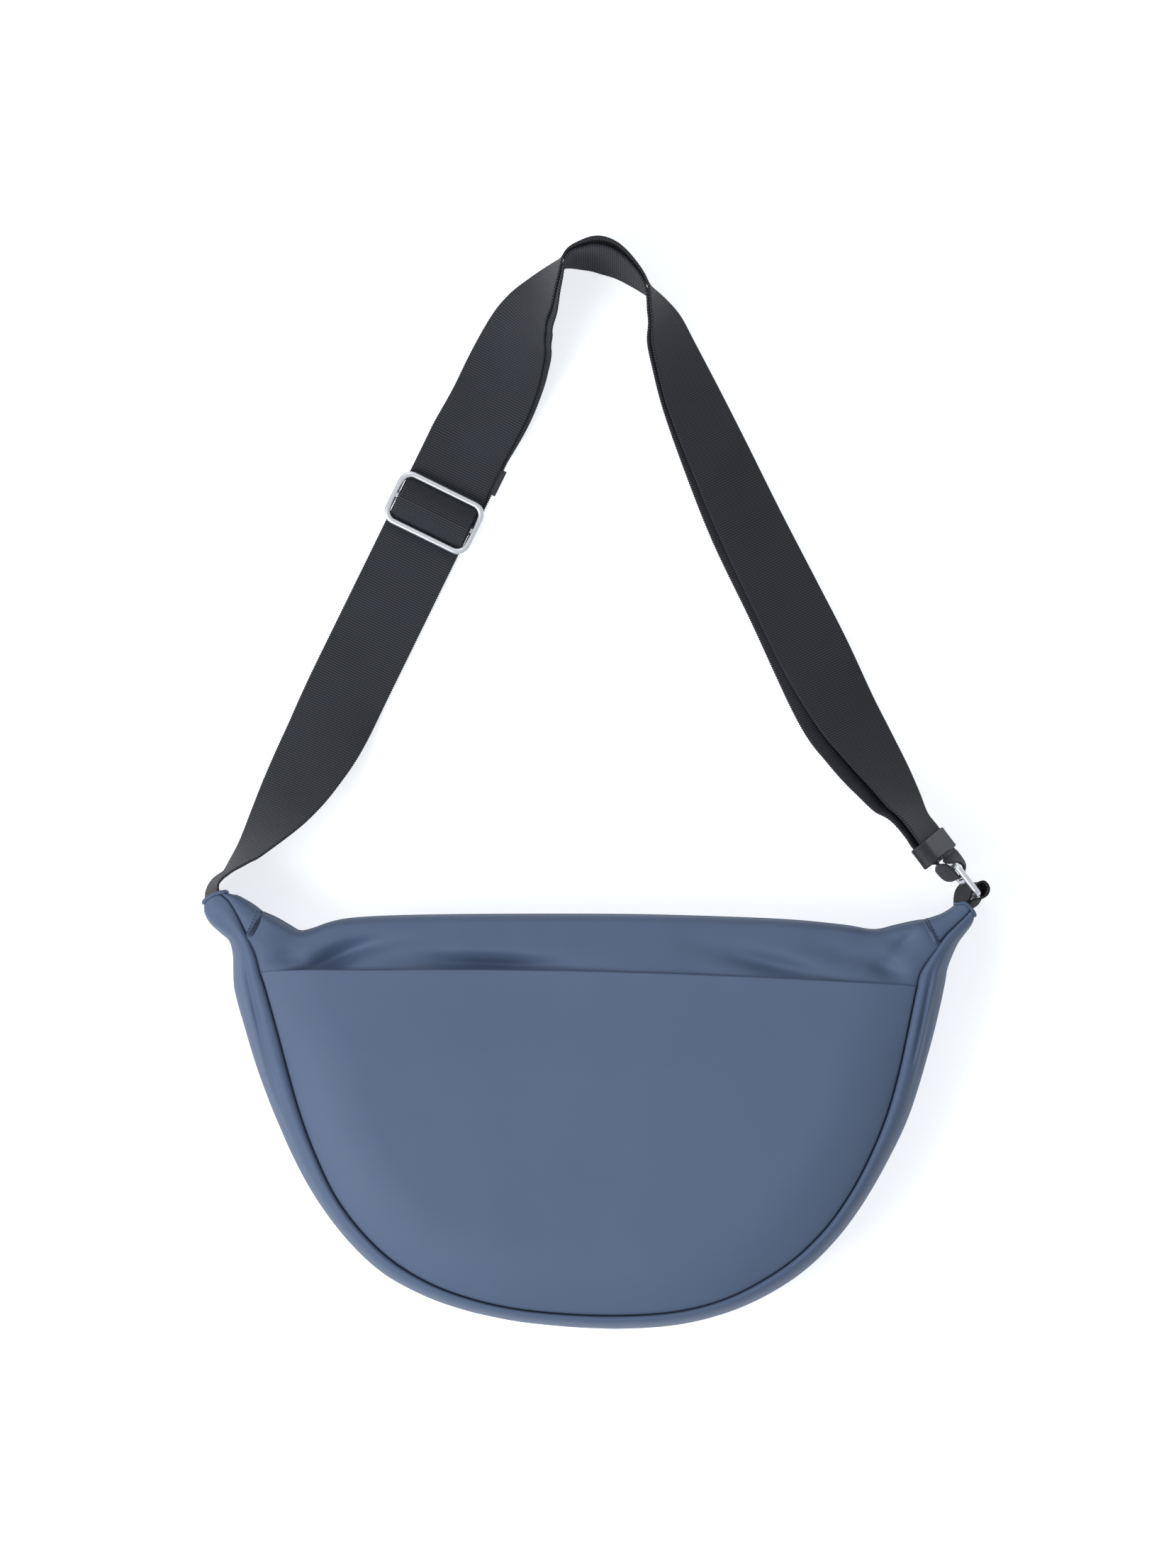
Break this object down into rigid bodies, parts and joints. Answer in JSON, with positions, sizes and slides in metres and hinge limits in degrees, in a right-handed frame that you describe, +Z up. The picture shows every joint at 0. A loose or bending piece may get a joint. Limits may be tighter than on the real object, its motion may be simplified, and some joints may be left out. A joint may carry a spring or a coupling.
{
  "type": "crescent sling bag",
  "caption": "Half-moon fabric sling bag with a front slip pocket, zipped top, padded gusset and a long webbing strap with slider, keeper and end ring.",
  "frame": {"origin": "on the flat underside of the back panel, in the middle of the bag's width, 90.8 mm above the bottom seam", "axes": "the bag lies on its back: +X to the right, +Y from the rounded bottom to the zip and the strap, +Z up out of the front pocket"},
  "size_m": [0.3695, 0.5155, 0.0575],
  "materials": {
    "panel_fabric": "matte slate-blue coated nylon",
    "pocket_fabric": "matte slate-blue coated nylon",
    "gusset_fabric": "matte slate-blue coated nylon, padded",
    "cap_fabric": "matte slate-blue coated nylon, topstitched",
    "lining_fabric": "dark plain-woven lining",
    "black_webbing": "black ribbed webbing",
    "black_tape": "woven zip tape",
    "black_coil": "moulded nylon coil",
    "black_leather": "smooth black leather-like trim",
    "satin_steel": "satin nickel-coloured metal",
    "dark_steel": "dark plated metal"
  },
  "bodies": {
    "bag": {"back_panel": "panel_fabric", "gusset": "gusset_fabric", "front_panel": "panel_fabric", "front_pocket": "pocket_fabric", "pocket_hem": "pocket_fabric", "back_top_strip": "panel_fabric", "zip_tape_front": "black_tape", "zip_tape_back": "black_tape", "zip_coil_front": "black_coil", "zip_coil_back": "black_coil", "zip_stop_left": "dark_steel", "zip_stop_right": "dark_steel", "lining": "lining_fabric", "inner_pocket": "lining_fabric", "end_cap_left": "cap_fabric", "end_cap_right": "cap_fabric", "strap_root_left": "black_webbing", "strap_ring_loop": "black_webbing", "ring_tab": "black_webbing"},
    "strap": {"strap_outer_run": "black_webbing", "strap_return_run": "black_webbing"},
    "strap_slider": {"slider_frame": "satin_steel", "strap_end_wrap": "black_webbing", "strap_over_bar": "black_webbing", "strap_tail": "black_webbing", "strap_tip_patch": "black_leather"},
    "ring": {"end_ring": "satin_steel"},
    "keeper": {"strap_keeper": "black_leather"},
    "zip_carriage": {"zip_slider": "dark_steel"},
    "zip_tab": {"zip_pull": "dark_steel"}
  },
  "joints": [
    {"name": "strap_swing", "type": "hinge", "parent": "bag", "child": "strap", "pos_m": [0, 0.116, 0.023], "axis": [1, 0, 0], "range_deg": [-120, 125], "deforming": ["strap_root_left", "strap_ring_loop"]},
    {"name": "slider_travel", "type": "slide", "parent": "strap", "child": "strap_slider", "axis": [-0.44, -0.898, 0], "range_m": [0, 0.04]},
    {"name": "ring_pivot", "type": "hinge", "parent": "bag", "child": "ring", "pos_m": [0.17959, 0.10663, 0.023], "axis": [0.0138, 0.0107, 0.9998], "range_deg": [-12, 12]},
    {"name": "keeper_slide", "type": "slide", "parent": "bag", "child": "keeper", "axis": [-0.6018, 0.7986, 0], "range_m": [0, 0.008]},
    {"name": "zip_travel", "type": "slide", "parent": "bag", "child": "zip_carriage", "axis": [1, 0, 0], "range_m": [0, 0.252]},
    {"name": "pull_swing", "type": "hinge", "parent": "zip_carriage", "child": "zip_tab", "pos_m": [-0.126, 0.0878, 0.0225], "axis": [0, 0, 1], "range_deg": [0, 170]}
  ]
}
